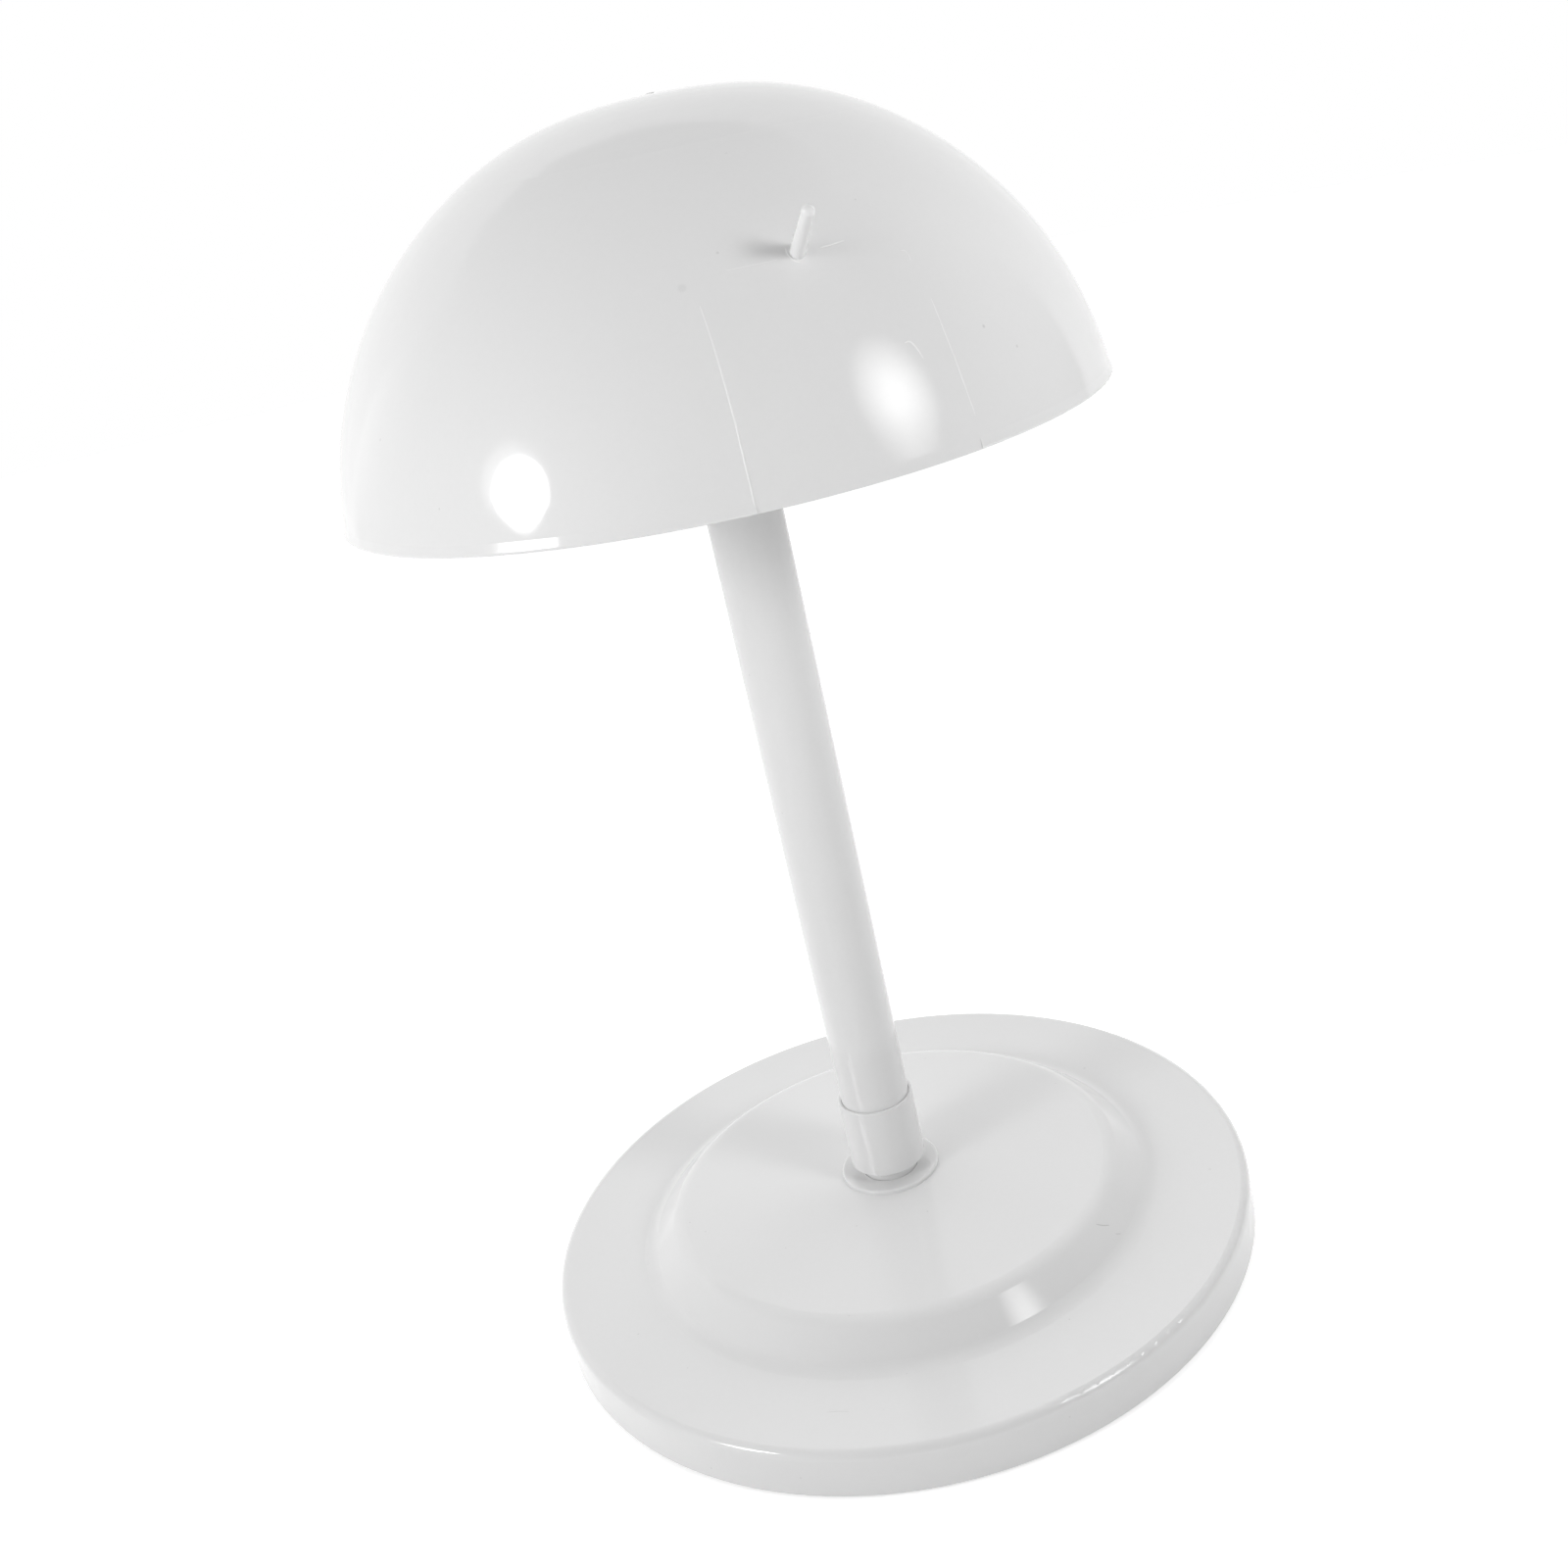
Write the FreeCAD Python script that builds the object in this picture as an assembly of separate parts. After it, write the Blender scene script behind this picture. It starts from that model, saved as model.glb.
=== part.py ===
import FreeCAD, Part
import math
import os
from FreeCAD import Vector

# Milliner's hat stand: a moulded dome the size of a head, on a round pole that stands in a
# sleeve on a stepped round base. Millimetres, +Z up. The origin is on the surface that the
# stand rests on, under the pole's centre, and the dome's peg points to the front, -Y.

# Dome
dome_rim_radius = 96.5
dome_height = 81.5
dome_wall = 2.0
dome_crown_radius = 155.0
dome_crown_angle = 5.7
dome_shoulder_radius = 85.5
dome_shoulder_angle = 30.7
dome_rim_round = 0.5
dome_lip_height = 2.6
dome_lip_flare = 0.35
slide_left = 24.9
slide_right = 25.6

# Peg moulded on the front of the dome
peg_height = 45.3
peg_length = 14.1
peg_tilt = 37.0
peg_root_radius = 1.75
peg_tip_radius = 1.4
peg_flare = 0.25

# Hub and webs moulded under the crown
hub_land = 3.3
hub_depth = 42.0
hub_wall = 1.6
hub_lead_in = 0.5
hub_web_count = 4
hub_web_thickness = 1.4
hub_web_rise = 4.0
hub_web_angle = 45.0

# Pole
pole_radius = 10.0
pole_wall = 1.5
pole_length = 289.8
pole_chamfer = 0.4

# Sleeve that carries the pole, with its neck and threaded spigot
sleeve_wall = 0.92
sleeve_height = 21.5
sleeve_floor = 3.0
sleeve_edge = 0.3
sleeve_round = 0.4
sleeve_mouth_edge = 0.12
sleeve_gap = 2.8
neck_inset = 3.0
seat_width = 1.5
spigot_wall = 2.5
spigot_tail = 1.5

# Nut and washer that hold the sleeve from below
nut_height = 6.0
nut_wall = 4.0
nut_chamfer = 1.0
washer_width = 6.0
washer_thickness = 1.2

# Base
base_radius = 103.6
base_draft = 0.3
base_wall = 2.2
base_rim_height = 13.1
base_edge_round = 2.4
base_inner_round = 0.3
plateau_radius = 62.6
plateau_crown_radius = 1300.0
step_run = 15.0
step_height = 8.9
step_round = 6.4
flange_width = 3.5
flange_height = 1.1
flange_edge_round = 0.5
flange_lip = 0.9
dish_depth = 0.7
seat_depth = 1.7
boss_width = 6.0
boss_thickness = 3.0

# Ribs under the base
tool_room = 14.0
rib_thickness = 1.6
rib_count = 4
rib_clear = 3.0
rim_chamfer = 0.3

# Feet under the base
foot_radius = 7.0
foot_thickness = 2.4
foot_proud = 0.8
foot_inset = 15.6
foot_edge = 0.4
foot_seat_wall = 1.6

# Clearances and one overrun for cuts
running_clearance = 0.08
thread_clearance = 0.1
neck_clearance = 0.3
washer_clearance = 0.3
end_play = 0.2
overrun = 5.0

# The largest step rounding, as a share of the one that would leave no straight flank
step_round_limit_share = 0.95

full_turn = 360.0
quarter_turn = 90.0
hexagon_sides = 6
foot_places = (("front_right", -45.0), ("back_right", 45.0), ("back_left", 135.0), ("front_left", 225.0))

# Radii that follow from the sizes above
sleeve_bore = pole_radius + running_clearance
sleeve_radius = sleeve_bore + sleeve_wall
neck_radius = sleeve_radius - neck_inset
spigot_radius = neck_radius - seat_width
flange_radius = sleeve_radius + flange_width
seat_bore = neck_radius + neck_clearance
spigot_hole = spigot_radius + running_clearance
washer_radius = spigot_radius + washer_width
rib_start_radius = washer_radius + tool_room
boss_radius = seat_bore + boss_width
hub_radius = sleeve_bore + hub_wall

# The step's rounding, held to a share of the one that would leave no straight flank
step_reach = (step_run ** 2 + step_height ** 2) / (4 * step_height)
step_rounding = min(step_round, step_reach * step_round_limit_share)

# The plateau is faintly crowned: where its arc meets the step's rounding, and how far it rises
plateau_arc = plateau_crown_radius - step_rounding
plateau_arc_angle = math.degrees(math.acos(plateau_radius / plateau_arc))
plateau_rise = plateau_arc - math.sqrt(plateau_arc ** 2 - plateau_radius ** 2)

# Heights that follow, from the resting surface up to the crown
rim_z = foot_proud
annulus_z = rim_z + base_rim_height
plateau_z = annulus_z + step_height
plateau_peak_z = plateau_z + plateau_rise
flange_z = plateau_peak_z + flange_height
seat_z = flange_z - seat_depth
boss_z = seat_z - boss_thickness
washer_z = boss_z - end_play - washer_thickness
nut_z = washer_z - nut_height
spigot_z = nut_z - spigot_tail
sleeve_z = flange_z + sleeve_gap
sleeve_top_z = sleeve_z + sleeve_height
pole_z = sleeve_z + sleeve_floor
pole_top_z = pole_z + pole_length
crown_z = pole_top_z + hub_land + dome_wall
dome_rim_z = crown_z - dome_height
hub_mouth_z = pole_top_z - hub_depth

axis_foot = Vector(0, 0, 0)
axis_up = Vector(0, 0, 1)


def at(radius, height):
    return Vector(radius, 0, height)


def on_circle(centre, radius, angle):
    # angle in degrees from the horizontal, in the half plane that gets turned
    turn = math.radians(angle)
    return at(centre.x + radius * math.cos(turn), centre.z + radius * math.sin(turn))


def arc(centre, radius, start, stop):
    points = [on_circle(centre, radius, angle) for angle in (start, (start + stop) / 2, stop)]
    return Part.Arc(*points).toShape()


def lines(points):
    return [Part.LineSegment(a, b).toShape() for a, b in zip(points, points[1:])]


def turned(edges):
    face = Part.Face(Part.Wire(edges))
    return face.revolve(axis_foot, axis_up, full_turn)


def turned_polygon(points):
    return turned(lines(points + points[:1]))


def cylinder(radius, bottom, top):
    return Part.makeCylinder(radius, top - bottom, at(0, bottom))


def ring(inner, outer, bottom, top):
    return cylinder(outer, bottom, top).cut(cylinder(inner, bottom - overrun, top + overrun))


def is_ring(edge, radius):
    # whether an edge is a full circle of that radius about the pole's axis
    curve = edge.Curve
    return isinstance(curve, Part.Circle) and abs(curve.Radius - radius) < running_clearance / 2


def around(shape, count, first=0.0):
    # copies of one shape, evenly spaced about the pole's axis
    copies = []
    for index in range(count):
        copy = shape.copy()
        copy.rotate(axis_foot, axis_up, first + index * full_turn / count)
        copies.append(copy)
    return copies


def radial_plate(points, thickness):
    # a flat plate in the XZ plane, centred on it
    corners = [Vector(point.x, -thickness / 2, point.z) for point in points + points[:1]]
    return Part.Face(Part.makePolygon(corners)).extrude(Vector(0, thickness, 0))


def dome_arcs():
    # centres and radii of the wall, shoulder and crown arcs, each tangent to the next; the wall
    # arc meets the rim's height inside the lip's flare
    crown = at(0, crown_z - dome_crown_radius)
    shoulder = on_circle(crown, dome_crown_radius - dome_shoulder_radius, quarter_turn - dome_crown_angle)
    toward = on_circle(axis_foot, 1, quarter_turn - dome_shoulder_angle)
    reach = at(dome_rim_radius - dome_lip_flare, dome_rim_z) - shoulder
    along = reach.dot(toward)
    gap = dome_shoulder_radius - along
    wall_radius = (reach.dot(reach) - 2 * dome_shoulder_radius * along + dome_shoulder_radius ** 2) / (2 * gap)
    wall = shoulder + toward * (dome_shoulder_radius - wall_radius)
    return (wall, wall_radius), (shoulder, dome_shoulder_radius), (crown, dome_crown_radius)


def dome_filled(inset, drop, flared=True):
    # everything inside the dome's outer face moved inward by inset, down to drop below the rim
    (wall, wall_radius), (shoulder, shoulder_radius), (crown, crown_radius) = dome_arcs()
    rise = dome_rim_z - wall.z + (dome_lip_height if flared else 0)
    first = math.degrees(math.asin(rise / (wall_radius - inset)))
    second = quarter_turn - dome_shoulder_angle
    third = quarter_turn - dome_crown_angle
    start = on_circle(wall, wall_radius - inset, first)
    lip = at(dome_rim_radius - inset, dome_rim_z) if flared else start
    low = lip - at(0, drop)
    corners = ([low] if drop else []) + ([lip] if flared else []) + [start]
    edges = lines(corners)
    edges.append(arc(wall, wall_radius - inset, first, second))
    edges.append(arc(shoulder, shoulder_radius - inset, second, third))
    edges.append(arc(crown, crown_radius - inset, third, quarter_turn))
    edges += lines([at(0, crown_z - inset), at(0, low.z), low])
    return turned(edges)


def dome_face_radius(height):
    # radius of the outer face at a height over the rim, on the wall arc
    wall, wall_radius = dome_arcs()[0]
    rise = dome_rim_z + height - wall.z
    return wall.x + math.sqrt(wall_radius ** 2 - rise ** 2)


def slide_window():
    # what the flared lip has too much where the mould's slide forms the front, under the peg
    width = slide_left + slide_right
    place = Vector(-slide_left, -dome_rim_radius - overrun, dome_rim_z - overrun)
    block = Part.makeBox(width, dome_rim_radius, overrun + dome_lip_height, place)
    return block.cut(dome_filled(0, overrun, False))


def peg():
    tilt = math.radians(peg_tilt)
    outward = Vector(0, -math.cos(tilt), math.sin(tilt))
    root = Vector(0, -dome_face_radius(peg_height), dome_rim_z + peg_height)
    sunk = dome_wall / 2
    shank = peg_length - peg_tip_radius
    start = root - outward * sunk
    stem = Part.makeCone(peg_root_radius, peg_tip_radius, sunk + shank, start, outward)
    tip = Part.makeSphere(peg_tip_radius, root + outward * shank)
    flare_radius = peg_root_radius + peg_flare
    flare = Part.makeCone(flare_radius, peg_root_radius - peg_flare / 2, sunk + peg_flare, start, outward)
    return stem.fuse(tip).fuse(flare)


def hub_web():
    # one web between the hub and the crown, cut off inside the dome's wall
    inner = hub_radius - hub_wall / 2
    low_z = hub_mouth_z + hub_web_rise
    rise = crown_z - low_z
    reach = inner + rise / math.tan(math.radians(hub_web_angle))
    return radial_plate([at(inner, low_z), at(reach, crown_z), at(inner, crown_z)], hub_web_thickness)


def dome_shell():
    shell = dome_filled(0, 0).fuse(peg()).cut(dome_filled(dome_wall, overrun))
    rim_edges = [edge for edge in shell.Edges if edge.BoundBox.ZMax < dome_rim_z + dome_rim_round / 2]
    shell = shell.makeFillet(dome_rim_round, rim_edges).cut(slide_window())
    core = dome_filled(dome_wall / 2, 0)
    hub = cylinder(hub_radius, hub_mouth_z, crown_z).common(core)
    webs = [web.common(core) for web in around(hub_web(), hub_web_count, quarter_turn / 2)]
    shell = shell.fuse([hub] + webs)
    mouth = hub_mouth_z + hub_lead_in
    bore = turned_polygon([
        at(0, hub_mouth_z - overrun),
        at(sleeve_bore + hub_lead_in, hub_mouth_z - overrun),
        at(sleeve_bore + hub_lead_in, hub_mouth_z),
        at(sleeve_bore, mouth),
        at(sleeve_bore, pole_top_z),
        at(0, pole_top_z),
    ])
    return shell.cut(bore).removeSplitter()


def pole_tube():
    bore = pole_radius - pole_wall
    return turned_polygon([
        at(bore, pole_z),
        at(pole_radius - pole_chamfer, pole_z),
        at(pole_radius, pole_z + pole_chamfer),
        at(pole_radius, pole_top_z - pole_chamfer),
        at(pole_radius - pole_chamfer, pole_top_z),
        at(bore, pole_top_z),
    ])


def pole_sleeve():
    # thin socket above, floor, neck that sits in the base, and a hollow threaded spigot
    spigot_bore = spigot_radius - spigot_wall
    socket = turned_polygon([
        at(spigot_bore, spigot_z),
        at(spigot_radius - sleeve_edge, spigot_z),
        at(spigot_radius, spigot_z + sleeve_edge),
        at(spigot_radius, seat_z),
        at(neck_radius, seat_z),
        at(neck_radius, sleeve_z),
        at(sleeve_radius, sleeve_z),
        at(sleeve_radius, sleeve_top_z),
        at(sleeve_bore + sleeve_mouth_edge, sleeve_top_z),
        at(sleeve_bore, sleeve_top_z - sleeve_mouth_edge),
        at(sleeve_bore, pole_z),
        at(0, pole_z),
        at(0, sleeve_z),
        at(spigot_bore, sleeve_z),
    ])
    outer = [edge for edge in socket.Edges if is_ring(edge, sleeve_radius)]
    return socket.makeFillet(sleeve_round, outer)


def sleeve_washer():
    return ring(spigot_radius + washer_clearance, washer_radius, washer_z, washer_z + washer_thickness)


def sleeve_nut():
    flat_radius = spigot_radius + nut_wall
    corner_radius = flat_radius / math.cos(math.radians(full_turn / hexagon_sides / 2))
    corners = []
    for index in range(hexagon_sides + 1):
        turn = math.radians(index * full_turn / hexagon_sides)
        corners.append(Vector(corner_radius * math.cos(turn), corner_radius * math.sin(turn), nut_z))
    prism = Part.Face(Part.makePolygon(corners)).extrude(at(0, nut_height))
    blank = turned_polygon([
        at(0, nut_z),
        at(flat_radius, nut_z),
        at(flat_radius + nut_chamfer * 2, nut_z + nut_chamfer),
        at(flat_radius + nut_chamfer * 2, nut_z + nut_height - nut_chamfer),
        at(flat_radius, nut_z + nut_height),
        at(0, nut_z + nut_height),
    ])
    bore = cylinder(spigot_radius + thread_clearance, nut_z - overrun, nut_z + nut_height + overrun)
    return prism.common(blank).cut(bore)


def step_slope():
    # slope of the straight flank between the step's two arcs
    rise = 2 * step_rounding - step_height
    slope = math.asin(2 * step_rounding / math.hypot(step_run, rise)) - math.atan2(rise, step_run)
    return math.degrees(slope)


def base_filled(inset, drop):
    # everything under the base's outer face moved inward by inset, down to drop below the rim
    facing = quarter_turn - step_slope()
    crown = at(0, plateau_peak_z - plateau_crown_radius)
    upper = at(plateau_radius, plateau_z - step_rounding)
    lower = at(plateau_radius + step_run, annulus_z + step_rounding)
    flank_top = on_circle(upper, step_rounding - inset, facing)
    flank_foot = on_circle(lower, step_rounding + inset, facing - 2 * quarter_turn)
    side_radius = base_radius - base_draft - inset
    corner_round = max(base_edge_round - inset, base_inner_round)
    corner = at(side_radius - corner_round, annulus_z - inset - corner_round)
    bottom = at(0, rim_z - drop)
    side = [at(side_radius, corner.z), at(base_radius - inset, rim_z)]
    if drop:
        side.append(at(base_radius - inset, bottom.z))
    edges = lines([bottom, at(0, plateau_peak_z - inset)])
    edges.append(arc(crown, plateau_crown_radius - inset, quarter_turn, plateau_arc_angle))
    edges.append(arc(upper, step_rounding - inset, plateau_arc_angle, facing))
    edges += lines([flank_top, flank_foot])
    edges.append(arc(lower, step_rounding + inset, facing - 2 * quarter_turn, -quarter_turn))
    edges += lines([at(lower.x, annulus_z - inset), at(corner.x, annulus_z - inset)])
    edges.append(arc(corner, corner_round, quarter_turn, 0))
    edges += lines(side + [bottom])
    return turned(edges)


def flange():
    # raised ring around the sleeve, rounded at its outer edge
    low_z = plateau_peak_z - base_wall / 2
    corner = at(flange_radius - flange_edge_round, flange_z - flange_edge_round)
    edges = lines([at(0, flange_z), at(0, low_z), at(flange_radius, low_z), at(flange_radius, corner.z)])
    edges.append(arc(corner, flange_edge_round, 0, quarter_turn))
    edges += lines([at(corner.x, flange_z), at(0, flange_z)])
    return turned(edges)


def sleeve_seat():
    # dished face, seat for the neck and hole for the spigot, as one cutter
    dish_radius = flange_radius - flange_lip
    return turned_polygon([
        at(0, boss_z - overrun),
        at(spigot_hole, boss_z - overrun),
        at(spigot_hole, seat_z),
        at(seat_bore, seat_z),
        at(seat_bore, flange_z - dish_depth),
        at(dish_radius, flange_z),
        at(dish_radius, flange_z + overrun),
        at(0, flange_z + overrun),
    ])


def foot_centre(angle):
    reach = base_radius - foot_inset
    turn = math.radians(angle)
    return Vector(reach * math.cos(turn), reach * math.sin(turn), 0)


def foot_seat(angle):
    # short tube that the foot is stuck under
    seat = ring(foot_radius - foot_seat_wall, foot_radius, foot_thickness, annulus_z)
    seat.translate(foot_centre(angle))
    return seat


def base_ribs():
    rib_z = rim_z + rib_clear
    reach = base_radius - base_wall / 2
    rib = radial_plate([
        at(rib_start_radius, rib_z),
        at(reach, rib_z),
        at(reach, plateau_peak_z),
        at(rib_start_radius, plateau_peak_z),
    ], rib_thickness)
    ribs = around(rib, rib_count, quarter_turn / 2)
    ribs.append(cylinder(boss_radius, boss_z, plateau_peak_z))
    ribs += [foot_seat(angle) for name, angle in foot_places]
    return ribs


def base_shell():
    shell = base_filled(0, 0).cut(base_filled(base_wall, overrun))
    rim_edges = [edge for edge in shell.Edges if edge.BoundBox.ZMax < rim_z + rim_chamfer / 2]
    shell = shell.makeChamfer(rim_chamfer, rim_edges)
    core = base_filled(base_wall / 2, 0)
    inside = [rib.common(core) for rib in base_ribs()]
    shell = shell.fuse(inside + [flange()])
    return shell.cut(sleeve_seat()).removeSplitter()


def foot_pad(angle):
    pad = turned_polygon([
        at(0, 0),
        at(foot_radius - foot_edge, 0),
        at(foot_radius, foot_edge),
        at(foot_radius, foot_thickness),
        at(0, foot_thickness),
    ])
    pad.translate(foot_centre(angle))
    return pad


def build():
    nodes = {
        "dome_shell": dome_shell(),
        "pole_tube": pole_tube(),
        "pole_sleeve": pole_sleeve(),
        "sleeve_washer": sleeve_washer(),
        "sleeve_nut": sleeve_nut(),
        "base_shell": base_shell(),
    }
    for name, angle in foot_places:
        nodes["foot_pad_" + name] = foot_pad(angle)
    return nodes


os.makedirs("parts", exist_ok=True)
for node, shape in build().items():
    box = shape.BoundBox
    print(node, "solids", len(shape.Solids), "valid", shape.isValid(), "volume", round(shape.Volume, 1),
          "z", round(box.ZMin, 2), round(box.ZMax, 2))
    shape.exportStep("parts/" + node + ".step")
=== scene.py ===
import math

import bmesh
import bpy
from mathutils import Matrix, Vector
from mathutils.bvhtree import BVHTree


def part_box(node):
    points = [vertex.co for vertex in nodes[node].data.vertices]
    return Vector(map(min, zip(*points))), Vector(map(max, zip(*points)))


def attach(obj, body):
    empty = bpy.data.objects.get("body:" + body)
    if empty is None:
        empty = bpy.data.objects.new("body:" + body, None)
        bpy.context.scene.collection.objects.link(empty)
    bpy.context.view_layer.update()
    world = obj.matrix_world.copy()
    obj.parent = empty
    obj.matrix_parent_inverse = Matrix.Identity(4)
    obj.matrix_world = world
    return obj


# Looks of a milliner's hat stand in glossy white plastic. Metres, +Z up, the dome's peg to -Y.

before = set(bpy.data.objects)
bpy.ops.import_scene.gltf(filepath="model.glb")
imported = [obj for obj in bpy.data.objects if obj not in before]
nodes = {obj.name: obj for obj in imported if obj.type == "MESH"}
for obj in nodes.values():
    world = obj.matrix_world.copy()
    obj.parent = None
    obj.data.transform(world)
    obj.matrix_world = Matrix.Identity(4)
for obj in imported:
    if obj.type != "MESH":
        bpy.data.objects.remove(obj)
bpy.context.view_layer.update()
rim_height, crown_height = [corner[2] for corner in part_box("dome_shell")]

MM = 0.001
WHITE = (1, 1, 1, 1)

# Camera: its place around the pole, how it is turned in radians, and its lens in pixels of a square picture
CAMERA_AZIMUTH = math.radians(-106.42)
CAMERA_REACH = 423.7 * MM
CAMERA_HEIGHT = 315.27 * MM
CAMERA_PITCH = 0.370
CAMERA_YAW = -0.022
CAMERA_ROLL = -0.221
CAMERA_NEAR = 10 * MM
CAMERA_FAR = 50
PICTURE_WIDTH = 1600
FOCAL_PIXELS = 1711.8
CENTRE_RIGHT_PIXELS = 57.1
CENTRE_UP_PIXELS = 14.0
SENSOR_WIDTH = 36.0

# Studio: broad soft lights as (azimuth, elevation, how narrow, strength), with angles in degrees
SOFT_LIGHTS = {
    "behind": (65, 25, 2.5, 0.34),
    "behind_middle": (74, 18, 20, 0.9),
    "behind_aside": (110, 12, 12, 0.9),
    "behind_left": (140, 30, 6, 0.49),
    "behind_right": (10, 35, 6, 0.88),
    "left": (190, 8, 5, 1.44),
    "top": (80, 80, 5, 0.12),
}

# A pale backdrop: its middle, its two sides, its top and its soft edge, in degrees. Its sides lean outward by
# so many degrees from the horizon to the zenith, and its top rises to the right by so much per radian.
BACKDROP_STRENGTH = 0.49
BACKDROP_AZIMUTH = math.degrees(CAMERA_AZIMUTH) + 180
BACKDROP_RIGHT = 56
BACKDROP_RIGHT_LEAN = 14
BACKDROP_LEFT = 42
BACKDROP_LEFT_LEAN = 28
BACKDROP_TOP = 45.6
BACKDROP_TOP_SLOPE = 0.10
BACKDROP_EDGE = 1.5

# Lamps as (place, aim, width, height, watts): one with a soft rim, one that is crisp but for a faint halo up
# and to its left, and a far one that throws the peg's shadow and isn't itself mirrored in the gloss
RIGHT_LAMP = ((0.2207, -0.3924, 0.3973), (0.009, -0.092, 0.26), 0.18, 0.255, 0.405)
LEFT_LAMP = ((-0.663, -0.183, 0.418), (-0.065, -0.068, 0.257), 0.215, 0.205, 0.95)
LEFT_HALO = ((-0.6673, -0.1559, 0.4411), (-0.07, -0.041, 0.277), 0.27, 0.25, 0.34)
KEY_LAMP = ((0.836, -1.21, 0.815), (0, -0.08, 0.25), 0.45, 0.45, 4.6)

# A soft rim: how many ellipses make the lamp, the smallest one's share of its size, and their distance
SOFT_RIM = {"ellipses": 8, "core": 0.28}
FAINT_RIM = {"ellipses": 3, "core": 0.8}
ELLIPSE_STEP = 1 * MM

# Floor: a round sheet with its own tone, and the glow that makes it look white
FLOOR_RADIUS = 3
FLOOR_SIDES = 96
FLOOR_TONE = 0.85
FLOOR_LIFT = 0.5

# Raised marks on the dome, in millimetres: (right of the middle, above the rim) points, width, height. They
# are drawn lighter than the dome: a painted highlight along them.
# A slide in the mould, which frees the peg, has left a line on either side and one at the top.
DOME_MARKS = {
    "slide_line_left": (((-24.9, 0.7), (-24.4, 11), (-23.7, 22), (-23.1, 31.5), (-22.6, 40)), 0.46, 0.07),
    "slide_line_left_low": (((-24.92, 0.5), (-24.7, 5), (-24.4, 11), (-24.0, 17)), 0.52, 0.14),
    "slide_line_right": (((25.9, 7), (25.3, 13), (24.9, 18.5), (24.5, 25), (24.3, 31)), 0.42, 0.06),
    "slide_line_top_left": (((-15.2, 45.0), (-10, 44.9), (-4.6, 44.8)), 0.16, 0.02),
    "slide_line_top_right": (((4.9, 45.1), (7.5, 45.2), (10.4, 45.3)), 0.4, 0.06),
    "nick_small": (((22.0, 40.9), (22.9, 40.6), (23.3, 39.6), (23.2, 38.6)), 0.4, 0.05),
    "nick_large": (((14.6, 24.3), (15.9, 24.2), (16.9, 22.6), (17.6, 20.4)), 0.45, 0.04),
    "peg_flash": (((-2.1, 46.6), (-2.2, 45.4), (-1.6, 44.1), (-0.6, 43.4)), 0.3, 0.06),
}

# Scratches on the base, with some grey in them, in millimetres: (right, back) points, width, height
BASE_MARKS = {
    "scratch_step": (((37.1, -56.5), (38.9, -56.8), (40.9, -56.7)), 0.4, 0.02),
    "scratch_foot": (((41.3, -58.9), (42.9, -58.8)), 0.3, 0.02),
    "scratch_front": (((-52.0, -72.0), (-49.5, -73.3), (-47.2, -75.0)), 0.14, 0.012),
}

# A mark's cross-section, as (across, up) shares of its width and height, the power by which its ends taper,
# and how many cross-sections it has for each of its points
RIDGE_SECTION = ((-0.5, -0.6), (-0.42, 0.35), (-0.2, 0.9), (0.2, 0.9), (0.42, 0.35), (0.5, -0.6))
RIDGE_TAPER = 0.4
DOME_MARK_RINGS = 8
BASE_MARK_RINGS = 6

# The gate mark's half section, in millimetres: (radius, above the crown), with a small dent in its middle
GATE_SECTION = (
    (1.1, -0.25),
    (1.1, 0.08),
    (1.07, 0.17),
    (0.99, 0.23),
    (0.87, 0.25),
    (0.4, 0.25),
    (0.28, 0.2),
    (0.1, 0.18),
)
GATE_SIDES = 48

# Spots on the dome, in millimetres: (right, back, above the rim), radius, and how much darker. The first and
# largest is painted shade in a shallow dimple; the others are specks in the plastic.
DOME_SPECKS_AND_DIMPLE_SHADE = (
    ((-24.4, -74.8, 43.6), 1.0, 0.06),
    ((34.9, -83.2, 22.7), 0.42, 0.16),
    ((42.3, -82.1, 16.8), 0.4, 0.12),
    ((-15.2, -73.3, 48.4), 0.35, 0.12),
    ((-84.8, -29.1, 24.1), 0.35, 0.12),
)

# Spots in the base's plastic, in millimetres: (right, back), radius, and how much darker
BASE_SPOTS = (
    ((77.9, 22.4), 0.5, 0.12),
    ((79.6, -47.1), 0.5, 0.07),
)

# A spot is even within the first share of its radius and fades out at the second
SPOT_CORE = 0.5
SPOT_RIM = 1.2

# White plastics: their tones, gloss and refractive indices. The base mirrors a little more than the rest.
# The dome is lighter than the same white plastic on the other parts: painted light that brightens it.
DOME_TONE_WITH_PAINTED_LIGHT = 0.865
# the dome's raised marks are lighter than the dome: a painted highlight along them
MARK_HIGHLIGHT_TONE = 0.96
SCRATCH_TONE = 0.6
POLE_TONE = 0.80
SLEEVE_TONE = 0.80
BASE_TONE = 0.81
PLASTIC_ROUGHNESS = 0.07
MARK_ROUGHNESS = 0.25
SCRATCH_ROUGHNESS = 0.4
PLASTIC_INDEX = 1.5
BASE_INDEX = 1.6

# Their fine structure: scales per metre, and shares by which tone and roughness change
FLOW_SCALE = 14
FLOW_TONE = 0.006
GRAIN_SCALE = 900
GRAIN_SHARE = 0.006
GRAIN_REACH = 0.3
DUST_SCALE = 95
DUST_RADIUS = 0.35 * MM
DUST_CORE = 1 / 3
DUST_SHARE = 0.86
HAZE_SCALE = 35
HAZE_LOW = 0.8
HAZE_HIGH = 1.25
WAVE_SCALE = 55
WAVE_RELIEF = 0.03 * MM

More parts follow.
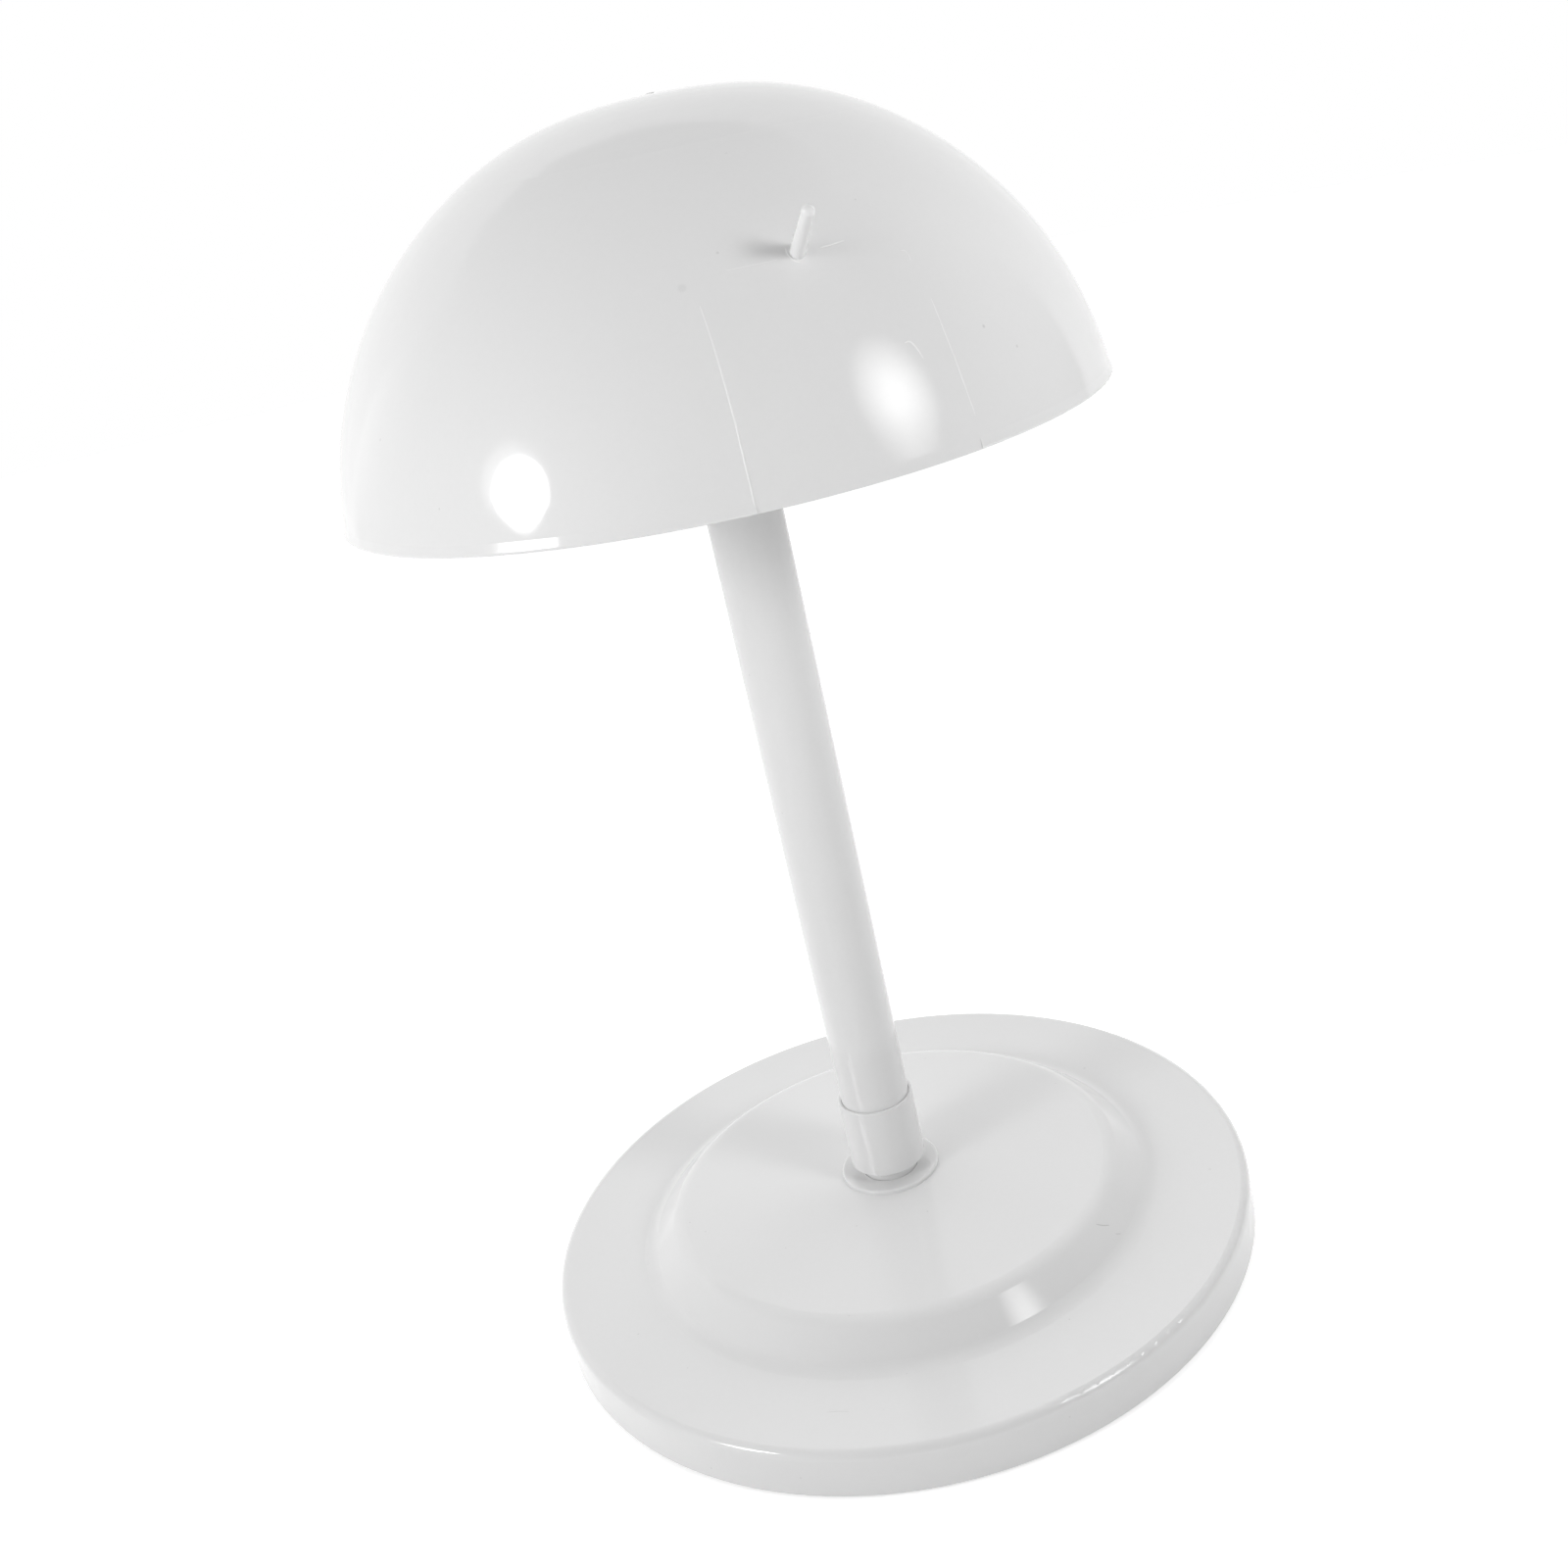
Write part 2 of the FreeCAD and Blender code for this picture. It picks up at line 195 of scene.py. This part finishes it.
# The other materials: (low, high) tones, patches and grain by their scales per metre, roughness and relief
PATCH_DETAIL = 4
NUT_TONES = (0.76, 0.81)
NUT_PATCHES = 120
NUT_ROUGHNESS = 0.5
NUT_GRAIN = 1500
NUT_RELIEF = 0.02 * MM
STEEL_TONES = (0.55, 0.66)
STEEL_PATCHES = 200
STEEL_ROUGHNESS = (0.28, 0.42)
STEEL_RINGS = 900
STEEL_WANDER = 1.5
STEEL_RELIEF = 0.004 * MM
RUBBER_TONES = (0.2, 0.27)
RUBBER_PATCHES = 300
RUBBER_ROUGHNESS = 0.85
RUBBER_GRAIN = 2500
RUBBER_RELIEF = 0.04 * MM

# Distance, well outside the stand, from which rays look for places on its surfaces
OUTSIDE = 1


def direction(azimuth, elevation):
    around = math.radians(azimuth)
    up = math.radians(elevation)
    return Vector((math.cos(up) * math.cos(around), math.cos(up) * math.sin(around), math.sin(up)))


# Node helpers: each gives the socket that carries its result

def feed(tree, socket, value):
    if isinstance(value, bpy.types.NodeSocket):
        tree.links.new(value, socket)
    else:
        socket.default_value = value


def maths(tree, operation, *values):
    node = tree.nodes.new("ShaderNodeMath")
    node.operation = operation
    for socket, value in zip(node.inputs, values):
        feed(tree, socket, value)
    return node.outputs["Value"]


def vector_maths(tree, operation, vector, other):
    node = tree.nodes.new("ShaderNodeVectorMath")
    node.operation = operation
    feed(tree, node.inputs[0], vector)
    feed(tree, node.inputs[1], other)
    return node.outputs["Value"]


def ramp(tree, value, start, end, low=0.0, high=1.0, smooth=True):
    node = tree.nodes.new("ShaderNodeMapRange")
    node.interpolation_type = "SMOOTHSTEP" if smooth else "LINEAR"
    feed(tree, node.inputs["Value"], value)
    feed(tree, node.inputs["From Min"], start)
    feed(tree, node.inputs["From Max"], end)
    feed(tree, node.inputs["To Min"], low)
    feed(tree, node.inputs["To Max"], high)
    return node.outputs["Result"]


def noise(tree, place, scale, detail=2):
    node = tree.nodes.new("ShaderNodeTexNoise")
    feed(tree, node.inputs["Vector"], place)
    feed(tree, node.inputs["Scale"], scale)
    feed(tree, node.inputs["Detail"], detail)
    return node.outputs["Fac"]


def mottle(tree, place, scale, low, high, detail=2, reach=0.2):
    # wanders between low and high as the noise goes to either side of its middle by as much as its reach
    patches = noise(tree, place, scale, detail)
    return ramp(tree, patches, 0.5 - reach, 0.5 + reach, low, high, smooth=False)


def bump(tree, height, relief):
    node = tree.nodes.new("ShaderNodeBump")
    feed(tree, node.inputs["Distance"], relief)
    feed(tree, node.inputs["Height"], height)
    return node.outputs["Normal"]


# Camera, floor and lights

def put_camera():
    data = bpy.data.cameras.new("camera")
    data.sensor_width = SENSOR_WIDTH
    data.lens = FOCAL_PIXELS / PICTURE_WIDTH * SENSOR_WIDTH
    data.shift_x = -CENTRE_RIGHT_PIXELS / PICTURE_WIDTH
    data.shift_y = -CENTRE_UP_PIXELS / PICTURE_WIDTH
    data.clip_start = CAMERA_NEAR
    data.clip_end = CAMERA_FAR
    camera = bpy.data.objects.new("camera", data)
    bpy.context.scene.collection.objects.link(camera)
    # from +X, +Y and +Z to right, down and forward of a level camera that looks along +Y
    level = Matrix(((1, 0, 0), (0, 0, -1), (0, 1, 0)))
    pitch = Matrix.Rotation(CAMERA_PITCH, 3, "X")
    yaw = Matrix.Rotation(CAMERA_YAW, 3, "Y")
    roll = Matrix.Rotation(CAMERA_ROLL, 3, "Z")
    right, down, forward = (roll @ yaw @ pitch @ level).row
    look = Matrix((right, -down, -forward)).transposed()
    turn = Matrix.Rotation(CAMERA_AZIMUTH + math.pi / 2, 3, "Z")
    place = turn @ Vector((0, -CAMERA_REACH, CAMERA_HEIGHT))
    camera.matrix_world = Matrix.Translation(place) @ (turn @ look).to_4x4()
    bpy.context.scene.camera = camera


def lay_floor():
    bpy.ops.mesh.primitive_circle_add(vertices=FLOOR_SIDES, radius=FLOOR_RADIUS, fill_type="NGON")
    floor = bpy.context.object
    floor.name = "floor"
    material, tree, shader = new_material("floor_white")[:3]
    feed(tree, shader.inputs["Base Color"], (FLOOR_TONE, FLOOR_TONE, FLOOR_TONE, 1))
    feed(tree, shader.inputs["Roughness"], 1)
    feed(tree, shader.inputs["Specular IOR Level"], 0)
    path = tree.nodes.new("ShaderNodeLightPath")
    seen = maths(tree, "MAXIMUM", path.outputs["Is Camera Ray"], path.outputs["Is Glossy Ray"])
    seen = maths(tree, "MAXIMUM", seen, path.outputs["Is Transmission Ray"])
    feed(tree, shader.inputs["Emission Color"], WHITE)
    feed(tree, shader.inputs["Emission Strength"], maths(tree, "MULTIPLY", seen, FLOOR_LIFT))
    floor.data.materials.append(material)


def backdrop(tree, where):
    # a pale wall behind the stand, with a definite top and sides that the gloss mirrors
    ahead = vector_maths(tree, "DOT_PRODUCT", where, direction(BACKDROP_AZIMUTH, 0))
    aside = vector_maths(tree, "DOT_PRODUCT", where, direction(BACKDROP_AZIMUTH - 90, 0))
    height = vector_maths(tree, "DOT_PRODUCT", where, (0, 0, 1))
    turned = maths(tree, "ARCTAN2", aside, ahead)
    turned_back = maths(tree, "MULTIPLY", turned, -1)
    right_lean = math.radians(BACKDROP_RIGHT_LEAN)
    left_lean = math.radians(BACKDROP_LEFT_LEAN)
    right = maths(tree, "MULTIPLY_ADD", height, right_lean, math.radians(BACKDROP_RIGHT))
    left = maths(tree, "MULTIPLY_ADD", height, left_lean, math.radians(BACKDROP_LEFT))
    top = maths(tree, "MULTIPLY_ADD", turned, BACKDROP_TOP_SLOPE, math.sin(math.radians(BACKDROP_TOP)))
    past_right = maths(tree, "SUBTRACT", turned, right)
    past_left = maths(tree, "SUBTRACT", turned_back, left)
    past_top = maths(tree, "SUBTRACT", height, top)
    past = maths(tree, "MAXIMUM", maths(tree, "MAXIMUM", past_left, past_right), past_top)
    edge = math.radians(BACKDROP_EDGE)
    return ramp(tree, past, edge, -edge)


def light_world():
    world = bpy.data.worlds.new("studio")
    bpy.context.scene.world = world
    world.use_nodes = True
    tree = world.node_tree
    where = tree.nodes.new("ShaderNodeTexCoord").outputs["Generated"]
    wall = backdrop(tree, where)
    total = maths(tree, "MULTIPLY", wall, BACKDROP_STRENGTH)
    for azimuth, elevation, narrow, strength in SOFT_LIGHTS.values():
        towards = vector_maths(tree, "DOT_PRODUCT", where, direction(azimuth, elevation))
        off = maths(tree, "SUBTRACT", towards, 1)
        glow = maths(tree, "EXPONENT", maths(tree, "MULTIPLY", off, narrow))
        total = maths(tree, "MULTIPLY_ADD", glow, strength, total)
    # the camera sees white all around, and the gloss sees it where the backdrop is
    path = tree.nodes.new("ShaderNodeLightPath")
    mirrored = maths(tree, "MAXIMUM", path.outputs["Is Glossy Ray"], path.outputs["Is Transmission Ray"])
    mirrored = maths(tree, "MULTIPLY", mirrored, wall)
    shown = tree.nodes.new("ShaderNodeMix")
    shown.data_type = "FLOAT"
    feed(tree, shown.inputs["Factor"], maths(tree, "MAXIMUM", path.outputs["Is Camera Ray"], mirrored))
    feed(tree, shown.inputs["A"], total)
    feed(tree, shown.inputs["B"], 1)
    background = tree.nodes["Background"]
    feed(tree, background.inputs["Color"], WHITE)
    feed(tree, background.inputs["Strength"], shown.outputs["Result"])


def lamp(name, place, aim, width, height, power):
    data = bpy.data.lights.new(name, "AREA")
    data.shape = "ELLIPSE"
    data.size = width
    data.size_y = height
    data.energy = power
    light = bpy.data.objects.new(name, data)
    bpy.context.scene.collection.objects.link(light)
    light.location = place
    light.rotation_euler = (Vector(aim) - Vector(place)).to_track_quat("-Z", "Y").to_euler()
    return light


def soft_lamp(name, place, aim, width, height, power, ellipses, core):
    # equally bright ellipses, one behind the other and ever larger, so that the light fades towards its rim
    shares = [core + (1 - core) * index / (ellipses - 1) for index in range(ellipses)]
    whole = sum(share ** 2 for share in shares)
    back = (Vector(place) - Vector(aim)).normalized() * ELLIPSE_STEP
    for index, share in enumerate(shares):
        behind = Vector(place) + back * index
        lamp(f"{name}_{index}", behind, aim, width * share, height * share, power * share ** 2 / whole)


# Materials

def new_material(name):
    material = bpy.data.materials.new(name)
    material.use_nodes = True
    tree = material.node_tree
    place = tree.nodes.new("ShaderNodeTexCoord").outputs["Object"]
    return material, tree, tree.nodes["Principled BSDF"], place


def dust(tree, place):
    # fine dust and mould specks: the share of its tone that the plastic keeps
    node = tree.nodes.new("ShaderNodeTexVoronoi")
    feed(tree, node.inputs["Scale"], DUST_SCALE)
    feed(tree, node.inputs["Vector"], place)
    limit = DUST_RADIUS * DUST_SCALE
    speck = ramp(tree, node.outputs["Distance"], limit, limit * DUST_CORE)
    return ramp(tree, speck, 0, 1, 1, DUST_SHARE, smooth=False)


def spot(tree, place, centre, radius, darker):
    # a round spot: the share of its tone that the plastic keeps
    away = vector_maths(tree, "DISTANCE", place, centre)
    return ramp(tree, away, radius * SPOT_CORE, radius * SPOT_RIM, 1 - darker, 1)


def white_plastic(name, tone, roughness=PLASTIC_ROUGHNESS, index=PLASTIC_INDEX, spots=()):
    # moulded plastic: faint flow in its tone, grain, dust and spots, and a gloss that varies and waves
    material, tree, shader, place = new_material(name)
    flow = mottle(tree, place, FLOW_SCALE, tone - FLOW_TONE, tone + FLOW_TONE)
    grain = mottle(tree, place, GRAIN_SCALE, 1 - GRAIN_SHARE, 1 + GRAIN_SHARE, reach=GRAIN_REACH)
    grey = maths(tree, "MULTIPLY", maths(tree, "MULTIPLY", flow, grain), dust(tree, place))
    for centre, radius, darker in spots:
        grey = maths(tree, "MULTIPLY", grey, spot(tree, place, centre, radius, darker))
    haze = mottle(tree, place, HAZE_SCALE, roughness * HAZE_LOW, roughness * HAZE_HIGH, PATCH_DETAIL)
    feed(tree, shader.inputs["Base Color"], grey)
    feed(tree, shader.inputs["IOR"], index)
    feed(tree, shader.inputs["Roughness"], haze)
    feed(tree, shader.inputs["Normal"], bump(tree, noise(tree, place, WAVE_SCALE, detail=1), WAVE_RELIEF))
    return material


def nut_plastic():
    material, tree, shader, place = new_material("nut_plastic")
    feed(tree, shader.inputs["Base Color"], mottle(tree, place, NUT_PATCHES, *NUT_TONES, PATCH_DETAIL))
    feed(tree, shader.inputs["Roughness"], NUT_ROUGHNESS)
    feed(tree, shader.inputs["Normal"], bump(tree, noise(tree, place, NUT_GRAIN, detail=3), NUT_RELIEF))
    return material


def zinc_steel():
    # drawn along rings around the pole
    material, tree, shader, place = new_material("washer_steel")
    rings = tree.nodes.new("ShaderNodeTexWave")
    rings.wave_type = "RINGS"
    rings.rings_direction = "Z"
    feed(tree, rings.inputs["Scale"], STEEL_RINGS)
    feed(tree, rings.inputs["Distortion"], STEEL_WANDER)
    feed(tree, rings.inputs["Vector"], place)
    drawn = rings.outputs["Fac"]
    feed(tree, shader.inputs["Base Color"], mottle(tree, place, STEEL_PATCHES, *STEEL_TONES, PATCH_DETAIL))
    feed(tree, shader.inputs["Metallic"], 1)
    feed(tree, shader.inputs["Roughness"], ramp(tree, drawn, 0, 1, *STEEL_ROUGHNESS))
    feed(tree, shader.inputs["Normal"], bump(tree, drawn, STEEL_RELIEF))
    return material


def grey_rubber():
    material, tree, shader, place = new_material("foot_rubber")
    feed(tree, shader.inputs["Base Color"], mottle(tree, place, RUBBER_PATCHES, *RUBBER_TONES, PATCH_DETAIL))
    feed(tree, shader.inputs["Roughness"], RUBBER_ROUGHNESS)
    feed(tree, shader.inputs["Normal"], bump(tree, noise(tree, place, RUBBER_GRAIN), RUBBER_RELIEF))
    return material


def dress(material, *names):
    for name in names:
        for slot in nodes[name].material_slots:
            slot.material = material


# Places on the pieces' own surfaces

def surface_of(node):
    mesh = nodes[node].data
    return BVHTree.FromPolygons([v.co for v in mesh.vertices], [p.vertices for p in mesh.polygons])


def on_dome(surface, x, height):
    # place and normal on the dome's front, from millimetres right of the middle and above the rim
    start = Vector((x * MM, -OUTSIDE, rim_height + height * MM))
    return surface.ray_cast(start, Vector((0, 1, 0)))[:2]


def on_base(surface, x, y):
    # place and normal on the base's top, from millimetres to the right and back
    return surface.ray_cast(Vector((x * MM, y * MM, OUTSIDE)), Vector((0, 0, -1)))[:2]


# Mould marks and scratches: fine raised pieces laid on the dome and the base

def bend(before, one, two, after, part):
    # a smooth curve's value at this part of the way from one to two
    first = (two - before) * part
    second = (2 * before - 5 * one + 4 * two - after) * part ** 2
    third = (3 * one - 3 * two + after - before) * part ** 3
    return 0.5 * (2 * one + first + second + third)


def smooth_course(points, each):
    # places spread evenly along a smooth curve through the given pairs, so many for each of them
    steps = []
    last = len(points) - 1
    count = each * len(points)
    for index in range(count):
        along = index / (count - 1) * last
        first = min(int(along), last - 1)
        around = [points[min(max(first + shift, 0), last)] for shift in (-1, 0, 1, 2)]
        steps.append([bend(*values, along - first) for values in zip(*around)])
    return steps


def loft(name, rings, material, smooth_ends):
    # a closed piece through rings of points, with smooth sides
    work = bmesh.new()
    loops = [[work.verts.new(point) for point in ring] for ring in rings]
    for one, two in zip(loops, loops[1:]):
        for index in range(len(one)):
            following = (index + 1) % len(one)
            work.faces.new((one[index], one[following], two[following], two[index])).smooth = True
    for end in (loops[0][::-1], loops[-1]):
        work.faces.new(end).smooth = smooth_ends
    bmesh.ops.recalc_face_normals(work, faces=work.faces)
    mesh = bpy.data.meshes.new(name)
    work.to_mesh(mesh)
    work.free()
    mesh.materials.append(material)
    piece = bpy.data.objects.new(name, mesh)
    bpy.context.scene.collection.objects.link(piece)
    return piece


def ridge(name, course, width, height, material, body):
    # a thin raised line through (place, outward normal) pairs, low at both ends
    rings = []
    last = len(course) - 1
    for index, (place, normal) in enumerate(course):
        before = course[max(index - 1, 0)][0]
        after = course[min(index + 1, last)][0]
        side = (after - before).normalized().cross(normal).normalized()
        swell = math.sin(math.pi * (index + 0.5) / (last + 1)) ** RIDGE_TAPER
        rings.append([
            place + side * across * width * swell + normal * up * height * swell
            for across, up in RIDGE_SECTION
        ])
    piece = loft(name, rings, material, smooth_ends=True)
    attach(piece, body)


def gate_mark(material):
    # the small round end of the sprue, trimmed off at the crown
    turns = [2 * math.pi * side / GATE_SIDES for side in range(GATE_SIDES)]
    rings = []
    for radius, above in GATE_SECTION:
        reach = radius * MM
        height = crown_height + above * MM
        rings.append([(reach * math.cos(turn), reach * math.sin(turn), height) for turn in turns])
    piece = loft("gate_mark", rings, material, smooth_ends=False)
    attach(piece, "dome")


bpy.context.scene.view_settings.view_transform = "Standard"
put_camera()
lay_floor()
light_world()
soft_lamp("right_lamp", *RIGHT_LAMP, **SOFT_RIM)
lamp("left_lamp", *LEFT_LAMP)
soft_lamp("left_halo", *LEFT_HALO, **FAINT_RIM)
lamp("key_lamp", *KEY_LAMP).visible_glossy = False

# The first dome spot is painted shade in a shallow dimple; the rest are specks.
dome_specks_and_dimple_shade = [
    (Vector((x * MM, y * MM, rim_height + above * MM)), radius * MM, darker)
    for (x, y, above), radius, darker in DOME_SPECKS_AND_DIMPLE_SHADE
]
base_surface = surface_of("base_shell")
base_spots = [
    (on_base(base_surface, *point)[0], radius * MM, darker)
    for point, radius, darker in BASE_SPOTS
]

# The dome's lighter tone is painted light.
dome_white_painted_light = white_plastic("dome_plastic", DOME_TONE_WITH_PAINTED_LIGHT, spots=dome_specks_and_dimple_shade)
dress(dome_white_painted_light, "dome_shell")
dress(white_plastic("pole_plastic", POLE_TONE), "pole_tube")
dress(white_plastic("sleeve_plastic", SLEEVE_TONE), "pole_sleeve")
dress(white_plastic("base_plastic", BASE_TONE, index=BASE_INDEX, spots=base_spots), "base_shell")
dress(nut_plastic(), "sleeve_nut")
dress(zinc_steel(), "sleeve_washer")
dress(grey_rubber(), *[name for name in nodes if name.startswith("foot_pad")])

# The marks' lighter tone is a painted highlight along them.
mark_painted_highlight = white_plastic("mark_plastic_painted_highlight", MARK_HIGHLIGHT_TONE, roughness=MARK_ROUGHNESS)
dome_surface = surface_of("dome_shell")
for name, (points, width, height) in DOME_MARKS.items():
    course = [on_dome(dome_surface, *point) for point in smooth_course(points, DOME_MARK_RINGS)]
    ridge(name, course, width * MM, height * MM, mark_painted_highlight, "dome")
gate_mark(dome_white_painted_light)
scratch_grey = white_plastic("scratch_plastic", SCRATCH_TONE, roughness=SCRATCH_ROUGHNESS)
for name, (points, width, height) in BASE_MARKS.items():
    course = [on_base(base_surface, *point) for point in smooth_course(points, BASE_MARK_RINGS)]
    ridge(name, course, width * MM, height * MM, scratch_grey, "base")
